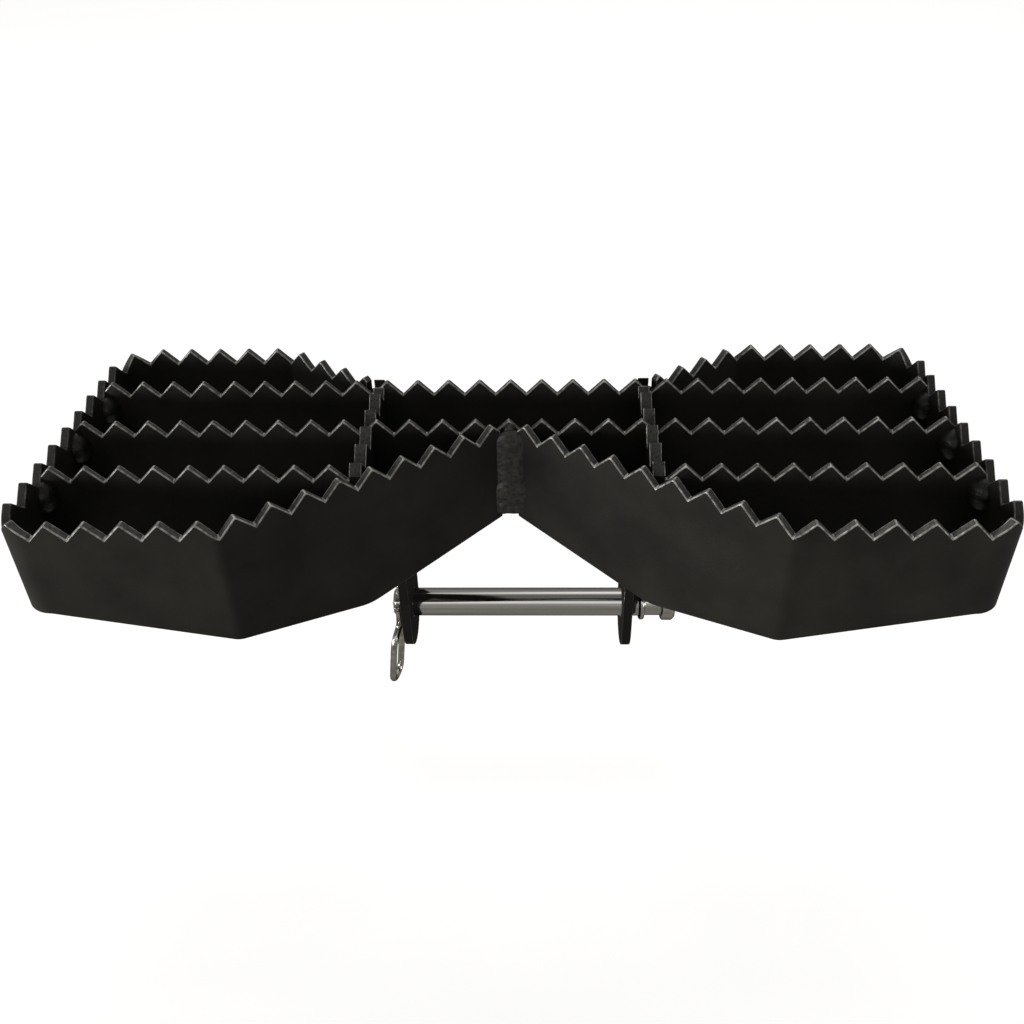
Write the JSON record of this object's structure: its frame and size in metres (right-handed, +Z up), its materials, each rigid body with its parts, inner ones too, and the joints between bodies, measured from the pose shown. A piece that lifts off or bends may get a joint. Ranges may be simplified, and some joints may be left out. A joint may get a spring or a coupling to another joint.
{
  "type": "hitch receiver step",
  "caption": "Welded steel step with saw-toothed bow-tie tread and ear plates that a hitch pin and hairpin clip hold on a tow hitch receiver.",
  "frame": {"origin": "on the pin axis, midway between the two ears", "axes": "+X along the pin towards its knob, +Y towards the vehicle, +Z up"},
  "size_m": [0.387, 0.152, 0.206],
  "materials": {
    "powder_coat": "satin",
    "bright_steel": "polished",
    "spring_wire": "satin"
  },
  "bodies": {
    "step": {"left_rim": "powder_coat", "right_rim": "powder_coat", "rear_crossbar": "powder_coat", "middle_crossbar": "powder_coat", "left_front_bar": "powder_coat", "right_front_bar": "powder_coat", "left_ear_plate": "powder_coat", "right_ear_plate": "powder_coat", "apex_weld": "powder_coat", "left_rear_bar_weld": "powder_coat", "left_middle_bar_weld": "powder_coat", "left_front_bar_weld": "powder_coat", "left_ear_plate_weld": "powder_coat", "left_rim_end_weld": "powder_coat", "right_rear_bar_weld": "powder_coat", "right_middle_bar_weld": "powder_coat", "right_front_bar_weld": "powder_coat", "right_ear_plate_weld": "powder_coat", "right_rim_end_weld": "powder_coat"},
    "pin": {"hitch_pin": "bright_steel"},
    "clip": {"hairpin_clip": "spring_wire"}
  },
  "joints": [
    {"name": "pin_turn", "type": "hinge", "parent": "step", "child": "pin", "pos_m": [0, 0, 0], "axis": [1, 0, 0], "continuous": true},
    {"name": "clip_pull", "type": "slide", "parent": "pin", "child": "clip", "axis": [0, 0, -1], "range_m": [0, 0.023]}
  ]
}
